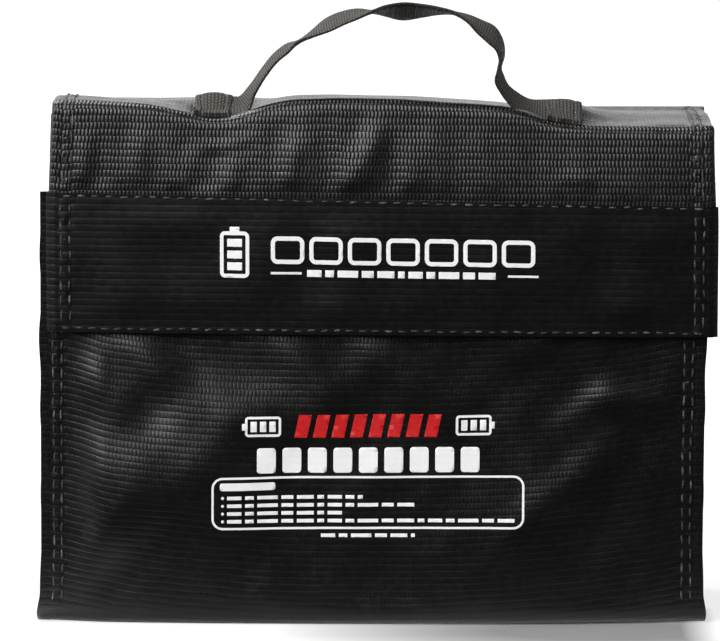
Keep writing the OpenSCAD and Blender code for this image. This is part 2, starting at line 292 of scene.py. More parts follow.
# ------------------------------------------------------------------ node materials
class Nodes:
    """A short way to write a node tree."""

    def __init__(self, material):
        self.tree = material.node_tree
        self.tree.nodes.clear()

    def add(self, kind, inputs=None, **settings):
        """A node with its settings; an input is a value or another node's output."""
        node = self.tree.nodes.new(kind)
        for key, value in settings.items():
            setattr(node, key, value)
        for key, value in (inputs or {}).items():
            if isinstance(value, bpy.types.NodeSocket):
                self.tree.links.new(value, node.inputs[key])
            else:
                node.inputs[key].default_value = value
        return node

    def math(self, operation, a, b=0.0, c=0.0):
        """One operation on numbers or outputs."""
        return self.add("ShaderNodeMath", {0: a, 1: b, 2: c}, operation=operation).outputs[0]

    def noise(self, place, scale, detail=2.0, rough=0.5):
        """Soft random unevenness, 0 to 1, with features about 1 / scale apart."""
        inputs = {"Vector": place, "Scale": scale, "Detail": detail, "Roughness": rough}
        return self.add("ShaderNodeTexNoise", inputs).outputs["Fac"]

    def ramp(self, value, low, high, out_low=0.0, out_high=1.0):
        """The range low to high turned into out_low to out_high, and held beyond it."""
        inputs = {"Value": value, "From Min": low, "From Max": high}
        inputs.update({"To Min": out_low, "To Max": out_high})
        return self.add("ShaderNodeMapRange", inputs).outputs["Result"]

    def wave(self, value, pitch, sharp=1.0):
        """0 in the grooves, pitch apart, and 1 on the crests between them."""
        turned = self.math("MULTIPLY", value, math.pi / pitch)
        crest = self.math("ABSOLUTE", self.math("SINE", turned))
        return self.math("POWER", crest, sharp)

    def mix(self, share, a, b):
        """Colour a where share is 0 and b where it is 1."""
        node = self.add("ShaderNodeMix", data_type="RGBA")
        for socket, value in ((node.inputs[0], share), (node.inputs[6], a), (node.inputs[7], b)):
            if isinstance(value, bpy.types.NodeSocket):
                self.tree.links.new(value, socket)
            else:
                socket.default_value = value
        return node.outputs[2]

    def finish(self, colour, rough, height, depth_mm, strength=1.0, **fixed):
        """The surface itself, with its relief from height as a bump."""
        bump = self.add(
            "ShaderNodeBump", {"Height": height, "Distance": depth_mm * MM, "Strength": strength}
        )
        inputs = {"Base Color": colour, "Roughness": rough, "Normal": bump.outputs["Normal"]}
        inputs.update({key.replace("_", " "): value for key, value in fixed.items()})
        shader = self.add("ShaderNodeBsdfPrincipled", inputs)
        self.add("ShaderNodeOutputMaterial", {"Surface": shader.outputs["BSDF"]})


def new_material(name):
    """An empty material and its node tree."""
    material = bpy.data.materials.new(name)
    material.use_nodes = True
    return material, Nodes(material)


def grey(value, warm=0.0):
    """A grey as a linear colour, with a little more red than blue where warm."""
    return (value * (1 + warm), value, value * (1 - warm), 1.0)


def cloth_place(n):
    """The weave's own coordinates in mm, a little uneven, as woven cloth is."""
    place = n.add("ShaderNodeAttribute", attribute_name="cloth").outputs["Vector"]
    drift = n.noise(place, 0.11, 2.0)
    split = n.add("ShaderNodeSeparateXYZ", {"Vector": place})
    wobble = n.math("MULTIPLY", n.math("SUBTRACT", drift, 0.5), 0.35)
    across = n.math("ADD", split.outputs[0], wobble)
    along = n.math("ADD", split.outputs[1], wobble)
    return place, across, along, split.outputs[2]


# Spacing of the weave's upright ribs and of the rows they are cut into, in mm.
RIB_PITCH = 1.39
ROW_PITCH = 2.45


def ribbed_height(n, place, across, along, relief):
    """Height of the coated weave: upright ribs cut into rows, each second cut deeper."""
    row = n.math("FLOOR", n.math("DIVIDE", along, ROW_PITCH))
    shift = n.math("MULTIPLY", n.math("MODULO", row, 2.0), RIB_PITCH / 4)
    ribs = n.wave(n.math("ADD", across, shift), RIB_PITCH, 0.9)
    rows = n.wave(along, ROW_PITCH, 0.42)
    pairs = n.wave(along, 2 * ROW_PITCH, 0.25)
    cuts = n.math("MULTIPLY", n.ramp(rows, 0.0, 1.0, 0.1, 1.0), n.ramp(pairs, 0.0, 1.0, 0.6, 1.0))
    raised = n.ramp(n.noise(place, 0.16, 3.0), 0.3, 0.7, 0.75, 1.0)
    ribbed = n.math("SUBTRACT", 1.0, n.math("MULTIPLY", relief, n.math("SUBTRACT", 1.0, ribs)))
    shown = n.math("MULTIPLY", raised, n.ramp(relief, 0.0, 1.0, 0.4, 1.0))
    weave = n.math("MULTIPLY", n.math("MULTIPLY", ribbed, cuts), shown)
    fine = n.noise(place, 1.7, 2.0)
    return n.math("ADD", weave, n.math("MULTIPLY", fine, 0.07)), weave


def coated_cloth():
    """Black ribbed cloth under a glossy plastic coat, a little paler where it is scuffed."""
    material, n = new_material("coated_cloth")
    place, across, along, relief = cloth_place(n)
    height, weave = ribbed_height(n, place, across, along, relief)
    scuffs = n.noise(place, 0.05, 4.0, 0.6)
    wear_and_glints = n.math("MULTIPLY", weave, n.ramp(scuffs, 0.45, 0.75))
    colour = n.mix(wear_and_glints, grey(0.0022, 0.06), grey(0.0075, 0.05))
    rough = n.ramp(n.noise(place, 0.35, 3.0), 0.25, 0.75, 0.27, 0.37)
    n.finish(colour, rough, height, 0.18, 1.0, Specular_IOR_Level=0.42)
    return material


def printed_ink(name, colour_low, colour_high, rough_low):
    """Ink on the coated cloth: the weave shows through it, softened."""
    material, n = new_material(name)
    place, across, along, relief = cloth_place(n)
    height, weave = ribbed_height(n, place, across, along, relief)
    patchy = n.noise(place, 0.8, 4.0, 0.6)
    colour = n.mix(n.math("MULTIPLY", n.ramp(patchy, 0.3, 0.7), weave), colour_low, colour_high)
    rough = n.ramp(patchy, 0.3, 0.7, rough_low, rough_low + 0.12)
    n.finish(colour, rough, height, 0.12, 0.6)
    return material


def plain_weave(name, pitch_u, pitch_v, low, high, rough, depth, fuzz, warm=0.03, **fixed):
    """Threads over and under each other, for lining, binding and webbing."""
    material, n = new_material(name)
    place, across, along, _ = cloth_place(n)
    warp = n.wave(across, pitch_u, 0.8)
    weft = n.wave(along, pitch_v, 0.8)
    check = n.math(
        "MULTIPLY",
        n.math("SINE", n.math("MULTIPLY", across, math.pi / pitch_u)),
        n.math("SINE", n.math("MULTIPLY", along, math.pi / pitch_v)),
    )
    over = n.ramp(check, -1.0, 1.0)
    crossing = n.math("MULTIPLY", warp, weft)
    height = n.math("ADD", n.math("MULTIPLY", crossing, 0.6), n.math("MULTIPLY", over, 0.4))
    loose = n.noise(place, 2.6, 4.0, 0.7)
    height = n.math("ADD", height, n.math("MULTIPLY", loose, fuzz))
    # Colour: random yarn tone from the loose noise, times a painted shade that darkens the grooves
    # between threads where the relief is low.
    shade = n.math("MULTIPLY", n.ramp(loose, 0.2, 0.75, 0.35, 1.0), n.ramp(height, 0.3, 1.1))
    colour = n.mix(shade, grey(low, warm), grey(high, warm))
    roughness = n.ramp(loose, 0.2, 0.8, rough - 0.06, rough + 0.06)
    n.finish(colour, roughness, height, depth, 1.0, **fixed)
    return material


def twisted_thread():
    """Bonded thread: two plies twisted round each other."""
    material, n = new_material("thread")
    place = n.add("ShaderNodeAttribute", attribute_name="cloth").outputs["Vector"]
    split = n.add("ShaderNodeSeparateXYZ", {"Vector": place})
    twist = n.math("ADD", split.outputs[0], n.math("MULTIPLY", split.outputs[1], 0.5))
    plies = n.wave(twist, 0.55, 0.8)
    fibres = n.noise(place, 3.0, 4.0, 0.7)
    height = n.math("ADD", plies, n.math("MULTIPLY", fibres, 0.5))
    # Thread colour: a dark fibre tone, with random pale patches that are painted highlights,
    # standing in for glints of light on the stitches.
    wear_and_glints = n.ramp(n.noise(place, 0.23, 2.0), 0.52, 0.66)
    pale = n.mix(wear_and_glints, grey(0.032, 0.04), grey(0.17, 0.03))
    colour = n.mix(n.ramp(fibres, 0.3, 0.7), grey(0.006, 0.04), pale)
    rough = n.ramp(fibres, 0.2, 0.8, 0.38, 0.5)
    n.finish(colour, rough, height, 0.12, 0.8)
    return material


MATERIALS = {
    "coated_cloth": coated_cloth(),
    "lining_cloth": plain_weave("lining_cloth", 0.8, 0.8, 0.030, 0.085, 0.62, 0.12, 0.25, 0.0),
    "binding": plain_weave("binding", 0.7, 1.1, 0.010, 0.030, 0.6, 0.18, 0.3),
    "hook_tape": plain_weave("hook_tape", 1.5, 1.5, 0.006, 0.020, 0.42, 0.25, 0.3),
    "loop_tape": plain_weave("loop_tape", 1.3, 1.3, 0.012, 0.035, 0.85, 0.35, 1.2),
    "webbing": plain_weave("webbing", 1.2, 1.0, 0.003, 0.13, 0.70, 0.45, 0.25, 0.10,
                           Specular_IOR_Level=0.12),
    "thread": twisted_thread(),
    "white_print": printed_ink("white_print", grey(0.84), grey(0.95), 0.45),
    "red_print": printed_ink("red_print", (0.50, 0.007, 0.008, 1), (0.80, 0.013, 0.015, 1), 0.4),
}


# ------------------------------------------------------------------ shape of the body cloth
LEAN = 0.9


def swell(x, z):
    """How far the filled-out front stands forward of the CAD plane."""
    across = np.clip(1 - (np.abs(x) / (WEB_X + 3)) ** 2.4, 0, 1)
    return across * (5.2 - 3.9 * smooth(0, 105, z))


def front_folds(x, z):
    """Slack in the front panel: soft diagonal folds that run down from under the flap."""
    folds = creases(x, z, (
        ((-92, 106), (-50, 72), 8.5, 2.2),
        ((-112, 96), (-86, 82), 9, 1.4),
        ((-118, 50), (-36, 58), 27, 5.6),
        ((-56, 76), (-6, 81), 12, 1.9),
        ((-72, 92), (-40, 62), 8, -0.9),
        ((-6, 106), (34, 72), 8.5, 2.3),
        ((-34, 104), (-12, 84), 8, 1.4),
        ((60, 100), (74, 80), 12, -1.4),
        ((78, 84), (118, 80), 6.5, 2.0),
        ((50, 34), (90, 68), 9, 1.7),
        ((-100, 8), (-62, 44), 8, -1.2),
        ((-112, 12), (-86, 52), 6, 1.2),
        ((96, 12), (70, 40), 9, -0.8),
    ))
    under_flap = smooth(FLAP_Z + 6, FLAP_Z - 5, z)
    seams = smooth(WEB_X, WEB_X - 14, np.abs(x))
    slack = 0.45 * ripple(x, z, 60, 3) + 0.14 * ripple(x, z, 24, 4)
    return (folds + slack) * under_flap * seams * smooth(3, 12, z)


def back_folds(x, z):
    """Slack in the back panel, weaker than in the front."""
    folds = creases(x, z, (
        ((-70, 150), (10, 110), 12, 1.6),
        ((40, 120), (90, 60), 12, 1.4),
        ((-95, 90), (-50, 30), 10, 1.2),
    ))
    slack = 0.5 * ripple(x, z, 60, 11) + 0.15 * ripple(x, z, 24, 12)
    return (folds + slack) * smooth(WEB_X, WEB_X - 14, np.abs(x)) * smooth(6, 20, z)


def back_swell(x, z):
    """How far the back bulges, most near the bottom."""
    across = np.clip(1 - (np.abs(x) / (WEB_X + 3)) ** 2.4, 0, 1)
    return across * (3.6 - 2.2 * smooth(0, 120, z)) * smooth(RIM_Z - 2, RIM_Z - 30, z)


def seam_pucker(x, along, edge=HALF_W):
    """Cloth drawn in along the two rows of thread near a side edge."""
    uneven = 1 + 0.7 * ripple(x, along, 8, 91)
    depth = 0
    for row in THREAD_ROWS:
        wavy = 0.6 + 0.4 * np.cos(along * math.tau / 5.0 + row)
        depth = depth + 0.42 * bell(np.abs(x), edge - row, 1.1) * wavy * uneven
    return depth - 0.40 * bell(np.abs(x), edge - np.mean(THREAD_ROWS), 1.4) * uneven


def lean(z):
    """How far the whole bag leans to the right at a height."""
    return LEAN * z / MOUTH_Z


def tub_points(us, path):
    """The body cloth that runs up from the rear, along the bottom and up the front."""
    x = us[:, None]
    y, z = path[None, :, 0], path[None, :, 1]
    flat_y = -FRONT_Y - FOLD_R
    share = np.clip(-y / flat_y, -1, 1)
    forward = np.maximum(share, 0)
    behind = np.maximum(-share, 0)
    on_front = smooth(FRONT_Y + 0.5, FRONT_Y + 0.1, y)
    new_y = y - swell(x, z) * forward + back_swell(x, z) * behind
    new_y = new_y - front_folds(x, z) * on_front
    new_y = new_y + seam_pucker(x, z) * (forward - behind) * smooth(2, 8, z)
    edge = smooth(WEB_X - 2, HALF_W, np.abs(x))
    raised = 0.5 * smooth(92, HALF_W, -x) * smooth(24, 0, z) * np.abs(share) ** 2
    wander = edge * np.sign(x) * 0.35 * ripple(z, y, 26, 21)
    flare = 0.013 * x * smooth(12, 2, z)
    new_x = x + lean(z) + wander + flare
    new_z = z + raised + 0.18 * ripple(x, z, 40, 22) * smooth(MOUTH_Z - 20, MOUTH_Z, z)
    return np.stack(np.broadcast_arrays(new_x, new_y, new_z), axis=2)


REAR_LAP_Z = 14.0
tub_route = (
    [(BACK_Y, REAR_LAP_Z)]
    + arc((BACK_Y - FOLD_R, FOLD_R), FOLD_R, 0, -90)
    + arc((FRONT_Y + FOLD_R, FOLD_R), FOLD_R, -90, -180)
    + [(FRONT_Y, MOUTH_Z)]
)
tub_v, tub_path = trace(tub_route, STEP)
tub_u = spread(-HALF_W, HALF_W)
tub = Cloth(tub_u, tub_v, tub_points(tub_u, tub_path))


def front_v(z):
    """Place along the body cloth of a height on the front."""
    return tub_v[-1] - (MOUTH_Z - np.asarray(z, float))


# ------------------------------------------------------------------ shape of the cover cloth
# The cover runs from the flap's free edge up, over the front fold, back over the lid and
# down behind. u is the CAD's x.
CREST_R = 3.2
LID_FRONT_Y = FLAP_Y + 2.6 + CREST_R
REAR_R = 2.4
COVER_SPLIT_Y = -19.0
COVER_SLIP = 0.9
# How far the lid stands up behind its left and right strap end.
TENT_RISES = (7.6, 6.0)
LID_SLIP = COVER_SLIP + LEAN * RIM_Z / MOUTH_Z
end_middles = [(low[0] + high[0]) / 2 - LID_SLIP for low, high in
               ((left_end_low, left_end_high), (right_end_low, right_end_high))]


# How far the front fold stands above the rim, from left to right: it dips where each strap
# end pulls it down and sags on the right.
CREST_ROUTE = np.array([
    (-125, 9.9), (-104, 9.3), (-87, 8.3), (-70, 5.6), (-60, 3.4), (-54, 3.6), (-48, 5.2),
    (-40, 7.6), (-32, 9.2), (-20, 10.0), (-10, 10.1), (10, 9.7), (28, 8.5), (39, 7.8),
    (46, 7.0), (54, 5.2), (62, 2.6), (70, 1.0), (80, 0.3), (125, 0.2),
])
# Where the flap starts to lean back towards that fold, beside the strap ends.
LEAN_ROUTE = np.array([
    (-125, 11.0), (-70, 9.0), (-54, 3.0), (-44, 3.2), (-36, 4.6), (-26, 6.0), (-10, 8.5),
    (10, 10.0), (28, 8.6), (39, 6.8), (48, 5.0), (57, 2.7), (66, 1.0), (84, 1.5), (125, 2.0),
])


def crest_z(x):
    """Height of the front fold."""
    rise = eased(CREST_ROUTE[:, 0], CREST_ROUTE[:, 1], x)
    return RIM_Z + rise + 0.15 * ripple(x, 0, 30, 31)


def leaned_back(x, z):
    """How far the flap has leaned back at a height, where the lid is drawn in."""
    line = RIM_Z + eased(LEAN_ROUTE[:, 0], LEAN_ROUTE[:, 1], x)
    above = np.minimum(z, crest_z(x)) - line
    return 0.95 * np.sqrt(np.maximum(above, 0) ** 2 + 0.5) - 0.67


def lid_z(x, y):
    """Height of the lid's cloth."""
    deep = (y - LID_FRONT_Y) / (BACK_Y - LID_FRONT_Y)
    front = (crest_z(x) - RIM_Z) * (1 - smooth(0.12, 0.95, deep))
    hill = smooth(LID_FRONT_Y - 2, LID_FRONT_Y + 18, y)
    hill = hill * smooth(BACK_Y - 6, LID_FRONT_Y + 17, y)
    tents = 0
    for middle, rise in zip(end_middles, TENT_RISES):
        tents = np.maximum(tents, rise * hill * bell(x, middle, 15))
    puffed = 6.0 * smooth(0.05, 0.4, deep) * smooth(1.0, 0.6, deep) * smooth(-12, -40, x)
    sag = 0.5 * ripple(x, y, 46, 33) * smooth(0, 0.2, deep) * smooth(1, 0.8, deep)
    raised = (np.maximum(front, 0) ** 5 + tents**5 + puffed**5) ** 0.2
    return RIM_Z + raised + sag


def flap_z(x, rise):
    """Height at a nominal rise above the flap's free edge; the flap hangs a little askew."""
    hem = FLAP_Z - 0.3 - 1.0 * x / HALF_W
    band = FLAP_Z + BAND_H + 1.2 - 2.7 * x / HALF_W
    crest = crest_z(x) - CREST_R
    lower = hem + (band - hem) * rise / BAND_H
    upper = band + (crest - band) * (rise - BAND_H) / (FLAP_RISE - BAND_H)
    return np.where(rise < BAND_H, lower, upper)


FLAP_RISE = RIM_Z - CREST_R - FLAP_Z


def flap_buckles(x, rise):
    """Upright buckles in the upper flap, gathered where the band's stitching holds it."""
    above = rise - BAND_H
    room = smooth(0.5, 5, above) * smooth(FLAP_RISE - BAND_H + 2, 12, above)
    slant = x + 0.18 * above
    waves = 0.26 * ripple(slant, 0.12 * above, 15, 41) + 0.25 * ripple(slant, 0.2 * above, 31, 42)
    folds = creases(x, above, (
        ((-10, 0), (4, 24), 5.0, 1.5),
        ((-32, 0), (-28, 18), 4.5, 1.0),
        ((-53, 0), (-50, 14), 4, 0.5),
        ((-69, 0), (-65, 16), 4, 0.6),
        ((-88, 0), (-84, 22), 5, 0.8),
        ((-105, 2), (-102, 22), 3.5, 0.8),
        ((15, 0), (18, 22), 5, 0.7),
        ((66, 8), (80, 9), 2.5, 0.3),
        ((-64, 17), (-44, 18), 2.2, 0.6),
    ))
    return (waves * (1 - 0.6 * smooth(10, 80, x)) + folds) * room * 0.9


def cover_points(us):
    """Rows of points: flap, front fold, lid, rear fold and back, with each row's place v."""
    x = us[:, None]
    u = np.abs(x - LID_X)
    rise = np.unique(np.concatenate([np.arange(0, BAND_H, STEP), [BAND_H],
                                     np.arange(BAND_H + 1, FLAP_RISE, 1.2)]))[None, :]
    z = flap_z(x, rise)
    back_lean = 2.6 * np.clip((rise - BAND_H) / (FLAP_RISE - BAND_H), 0, 1) ** 1.3
    y = FLAP_Y + back_lean + leaned_back(x, z)
    y = y - swell(x, z) * (1 - smooth(BAND_H - 6, FLAP_RISE, rise))
    y = y - flap_buckles(x, rise) + seam_pucker(x - LID_X, rise)
    flap = np.stack(np.broadcast_arrays(x, y, z), axis=2)

    turn = np.radians(np.array([0, 15, 30, 45, 60, 75, 90])[None, 1:])
    crest = crest_z(x)
    extra = leaned_back(x, crest - CREST_R)
    over = np.stack(np.broadcast_arrays(
        x, LID_FRONT_Y + extra - CREST_R * np.cos(turn), crest - CREST_R + CREST_R * np.sin(turn)
    ), axis=2)

    lid_rows = np.unique(np.concatenate([
        spread(LID_FRONT_Y, COVER_SPLIT_Y), spread(COVER_SPLIT_Y, BACK_Y - REAR_R)
    ]))[None, 1:]
    lid = np.stack(np.broadcast_arrays(
        x, lid_rows + extra * smooth(LID_FRONT_Y + 24, LID_FRONT_Y, lid_rows),
        lid_z(x, lid_rows) - seam_pucker(x - LID_X, lid_rows)
    ), axis=2)

    round_back = np.radians(np.array([72, 54, 36, 18, 0])[None, :])
    rear = np.stack(np.broadcast_arrays(
        x,
        BACK_Y - REAR_R + REAR_R * np.cos(round_back),
        RIM_Z - REAR_R + REAR_R * np.sin(round_back),
    ), axis=2)

    down = spread(RIM_Z - REAR_R, REAR_LAP_Z - 6)[None, 1:]
    behind = BACK_Y + back_swell(x, down) + back_folds(x, down) - seam_pucker(x, down)
    behind = behind + (CLOTH + 0.1) * smooth(REAR_LAP_Z + 8, REAR_LAP_Z, down)
    back = np.stack(np.broadcast_arrays(x, behind, down), axis=2)

    v = [rise[0], FLAP_RISE + CREST_R * turn[0]]
    v.append(v[-1][-1] + lid_rows[0] - LID_FRONT_Y)
    v.append(v[-1][-1] + REAR_R * (math.pi / 2 - round_back[0]))
    v.append(v[-1][-1] + (RIM_Z - REAR_R) - down[0])
    v = np.concatenate(v)
    points = np.concatenate([flap, over, lid, rear, back], axis=1)

    narrowed = 0.011 * smooth(BAND_H - 10, FLAP_RISE + 4, v)
    points[..., 0] -= (points[..., 0] - LID_X) * narrowed
    points[..., 0] += COVER_SLIP * smooth(FLAP_RISE + 80, FLAP_RISE + 10, v)
    behind = v > FLAP_RISE + CREST_R * 1.6 + BACK_Y - REAR_R - LID_FRONT_Y
    points[..., 0] += np.where(behind, lean(points[..., 2]), lean(RIM_Z) * smooth(40, 120, v))
    curl = np.clip((u - (HALF_W - HEM_IN)) / HEM_IN, 0, 1)
    inward = 1.3 * (1 - np.sqrt(1 - 0.98 * curl**2))
    hemmed = v < FLAP_RISE + CREST_R * 1.5 + BACK_Y - LID_FRONT_Y - 6
    normals = unit(np.cross(np.gradient(points, axis=0), np.gradient(points, axis=1)))
    points = points - normals * (inward * hemmed[None, :])[..., None]
    return v, points


cover_u = np.unique(np.concatenate([
    spread(LID_X - HALF_W, LID_X + HALF_W),
    LID_X - HALF_W + np.array([0.35, 0.8]), LID_X + HALF_W - np.array([0.35, 0.8]),
]))
cover_v, cover_grid = cover_points(cover_u)
cover = Cloth(cover_u, cover_v, cover_grid)
LID_V = FLAP_RISE + CREST_R * math.pi / 2
LID_END_V = LID_V + BACK_Y - REAR_R - LID_FRONT_Y
BACK_V = LID_END_V + REAR_R * math.pi / 2
SPLIT_V = LID_V + COVER_SPLIT_Y - LID_FRONT_Y


def lid_v(y):
    """Place along the cover of a depth on the lid."""
    return LID_V + np.asarray(y, float) - LID_FRONT_Y


def flap_v(z):
    """Place along the cover of a CAD height on the lower flap."""
    return np.asarray(z, float) - FLAP_Z


def back_v(z):
    """Place along the cover of a height on the back."""
    return BACK_V + (RIM_Z - REAR_R) - np.asarray(z, float)


# The two folds: the bodies they join, and where the bend starts and ends.
HINGE_REAR = (
    "bag_body", "lid",
    (0, (BACK_Y + 0.6) * MM, (RIM_Z - 7) * MM), (0, (BACK_Y - 4.5) * MM, (RIM_Z + 0.4) * MM),
)
HINGE_FRONT = (
    "lid", "flap",
    (0, (FLAP_Y + 6.5) * MM, (RIM_Z + 5) * MM), (0, (FLAP_Y - 0.5) * MM, (RIM_Z - 5) * MM),
)


# ------------------------------------------------------------------ cloth pieces
def tie(obj, nodes, body=None, hinge=None):
    """Hide the CAD nodes a piece stands for and hang it on the body it moves with; a piece on a
    fold is left where it is, its transform baked into its mesh.
    """
    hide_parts(*nodes)
    if hinge:
        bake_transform(obj)
    else:
        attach(obj, body)


def build_front_cloth():
    """Front and bottom, one cloth."""
    obj = tub.layer("front_cloth", tub_u, tub_v, 0, -CLOTH, MATERIALS["coated_cloth"], TAUT)
    tie(obj, ["front_panel", "base_panel"], "bag_body")


def build_back_and_lid():
    """Back and lid, one cloth that bends over the rear fold."""
    vs = cover_v[cover_v > SPLIT_V - 0.01]
    obj = cover.layer("back_and_lid_cloth", cover_u, vs, 0, -CLOTH, MATERIALS["coated_cloth"])
    tie(obj, ["back_panel", "lid_panel"], hinge=HINGE_REAR)


def build_flap():
    """The flap, which bends over the front fold."""
    vs = cover_v[cover_v < SPLIT_V + 0.01]
    obj = cover.layer("flap_cloth", cover_u, vs, 0, -CLOTH, MATERIALS["coated_cloth"])
    tie(obj, ["flap_panel"], hinge=HINGE_FRONT)


def band_top(u, v):
    """Height of the band's face above the flap: its edges pull down where they are sewn."""
    edge = np.minimum(np.minimum(v, BAND_H - v), HALF_W - np.abs(u - BAND_X))
    loose = smooth(1.5, 12, edge)
    return CLOTH + GAP + loose * (0.35 + 0.3 * ripple(u, v, 38, 51))


def build_band():
    """The second layer of cloth sewn over the lower flap."""
    us = spread(cover_u[0], cover_u[-1])
    vs = spread(0, BAND_H)
    u, v = np.meshgrid(us, vs, indexing="ij")
    top = band_top(u, v)
    obj = cover.layer("flap_band_cloth", us, vs, top, top - CLOTH, MATERIALS["coated_cloth"],
                      SEWN_FLAT)
    tie(obj, ["flap_band"], "flap")


def build_linings():
    """Lining under the body cloth, under back and lid, and under the flap."""
    material = MATERIALS["lining_cloth"]
    top = -CLOTH - GAP
    inside = spread(-INNER_X, INNER_X)
    vs = between(tub_v, 4.0, tub_v[-1] - 0.4)
    body = tub.layer("body_lining", inside, vs, top, top - LINING, material)
    tie(body, ["front_lining", "base_lining"], "bag_body")

    vs = between(cover_v, SPLIT_V, cover_v[-1] - 9)
    rear = cover.layer("back_and_lid_lining", inside, vs, top, top - LINING, material)
    tie(rear, ["back_lining", "lid_lining"], hinge=HINGE_REAR)

    us = spread(LID_X - HALF_W + 2.2, LID_X + HALF_W - 2.2)
    vs = between(cover_v, 0.8, SPLIT_V)
    flap = cover.layer("flap_lining_cloth", us, vs, top, top - LINING, material)
    tie(flap, ["flap_lining"], hinge=HINGE_FRONT)


# ------------------------------------------------------------------ gussets
GUSSET_FOLD = 6.5
SEAM_ROWS = 8
KNEE_Z = 31.0


def gusset_grid(side):
    """Points from the turned-out flange to the middle crease, row by row round the seam."""
    front = FRONT_Y + CLOTH + GAP
    back = BACK_Y - CLOTH - GAP
    radius = FOLD_R - CLOTH
    foot = CLOTH + GAP
    route = (
        [(front, MOUTH_Z - 0.3)]
        + arc((front + radius, foot + radius), radius, 180, 270)
        + arc((back - radius, foot + radius), radius, 270, 360)
        + [(back, RIM_Z - 3)]
    )
    v, path = trace(route, 1.8)
    y, z = path[:, 0], path[:, 1]
    top_mid = (MOUTH_Z + RIM_Z - 3) / 2
    side_top = np.where(y < 0, MOUTH_Z - 0.3, RIM_Z - 3)
    stretched = z * (1 + (top_mid / side_top - 1) * smooth(20, 150, z))
    middle_z = np.maximum(stretched, KNEE_Z)
    flange = np.array([0, 1.5, 3, 4.7, 6.2, 7.6, 8.4, 8.9])
    web = np.concatenate([[0.01, 0.03, 0.06], np.linspace(0.12, 1, 16)])
    rows = []
    for out in flange:
        x = np.full_like(y, HALF_W - out)
        rows.append(np.stack([x, y, z], axis=1))
    for share in web:
        x = WEB_X - 0.6 * min(1, share / 0.05) - GUSSET_FOLD * share**1.5
        x = x + 1.5 * ripple(share * 30, z, 34, 61) * math.sin(math.pi * share)
        new_y = y * (1 - share)
        new_z = z + (middle_z - z) * share
        rows.append(np.stack([np.broadcast_to(x, y.shape), new_y, new_z], axis=1))
    points = np.stack(rows, axis=0)
    rise = 0.5 * (side < 0) * smooth(92, HALF_W, points[..., 0]) * smooth(24, 0, points[..., 2])
    points[..., 2] += rise * np.clip(np.abs(points[..., 1]) / (BACK_Y - FOLD_R), 0, 1) ** 2
    points[..., 0] *= side
    points[..., 0] += lean(points[..., 2]) * (1 + 0.6 * smooth(MOUTH_Z, RIM_Z, points[..., 2]))
    across = np.concatenate([flange, flange[-1] + web * 32])
    return across, v, points


def build_gusset(name, side):
    """A side gusset and its lining; the lining starts inside the turned-out edge."""
    across, along, points = gusset_grid(side)
    normals = unit(np.cross(np.gradient(points, axis=0), np.gradient(points, axis=1))) * side
    normals[-1] = unit(normals[-1] * [1, 0, 1])
    weave = np.stack(np.meshgrid(across, along, indexing="ij"), axis=2)
    depths = (0, CLOTH, CLOTH + GAP, CLOTH + GAP + LINING)
    outer, inner, lining_top, lining_low = [points - normals * depth for depth in depths]
    layers = (
        ("cloth", "gusset", "coated_cloth", 0, outer, inner),
        ("lining", "lining", "lining_cloth", SEAM_ROWS, lining_top, lining_low),
    )
    for kind, node, slot, first, top, bottom in layers:
        grids = [grid[first:, ::side] for grid in (top, bottom, weave)]
        obj = closed_sheet(name + "_gusset_" + kind, *grids, MATERIALS[slot])
        shape = bmesh.new()
        shape.from_mesh(obj.data)
        bmesh.ops.remove_doubles(shape, verts=shape.verts, dist=0.02 * MM)
        bmesh.ops.recalc_face_normals(shape, faces=shape.faces)
        shape.to_mesh(obj.data)
        shape.free()
        tie(obj, [name + "_" + node], "bag_body")


# ------------------------------------------------------------------ binding and strips
def build_binding():
    """Tape folded over the mouth of the front panel."""
    us = spread(binding_low[0], binding_high[0])
    tape = 0.5
    under = -CLOTH - LINING - 0.15
    drop = MOUTH_Z - binding_low[2]
    profile = [(MOUTH_Z - drop, 0.05), (MOUTH_Z - drop * 0.66, 0.08),
               (MOUTH_Z - drop * 0.33, 0.08), (MOUTH_Z - 1, 0.06)]
    turn = np.linspace(0, math.pi, 7)
    middle, radius = (0.06 + under) / 2, (0.06 - under) / 2
    profile += [(MOUTH_Z + 0.1 + radius * 0.8 * math.sin(t), middle + radius * math.cos(t))
                for t in turn]
    profile += [(MOUTH_Z - 1, under), (MOUTH_Z - drop * 0.5, under), (MOUTH_Z - drop, under)]
    z, height = np.array(profile).T
    u, z_grid = np.meshgrid(us, z, indexing="ij")
    low = np.minimum(z_grid, MOUTH_Z)
    points = tub.at(u, front_v(low), height[None, :] + 0.06 * ripple(u, z_grid, 9, 71))
    points[..., 2] += z_grid - low
    grid = Cloth(us, np.arange(len(z)), points)
    obj = grid.layer("mouth_binding_tape", us, np.arange(len(z)), tape, 0.02,
                     MATERIALS["binding"])
    tie(obj, ["mouth_binding"], "bag_body")


def build_strip(name, cloth, low, high, v_low, v_high, base, face, relief, node, body, slot):
    """A hook or loop strip: a tape whose face stands up in rows."""
    us = spread(low, high, 0.75)
    vs = spread(v_low, v_high, 0.75)
    u, v = np.meshgrid(us, vs, indexing="ij")
    edge = np.minimum(np.minimum(u - low, high - u), np.minimum(v - v_low, v_high - v))
    raised = face + relief(u, v) * smooth(0.8, 1.8, edge)
    top, bottom = (raised, base) if face > base else (base, raised)
    obj = cloth.layer(name, us, vs, top, bottom, MATERIALS[slot])
    tie(obj, [node], body)


def hook_rows(u, v):
    """Height of the hooks, one bump each."""
    return 0.4 * np.clip(np.cos(u * math.tau / 1.5) * np.cos(v * math.tau / 1.5), 0, 1) ** 0.5


def loop_pile(u, v):
    """Height of the uneven loops, below the tape's face."""
    return -0.18 - 0.16 * ripple(u, v, 2.4, 81) - 0.1 * ripple(u, v, 6.0, 82)


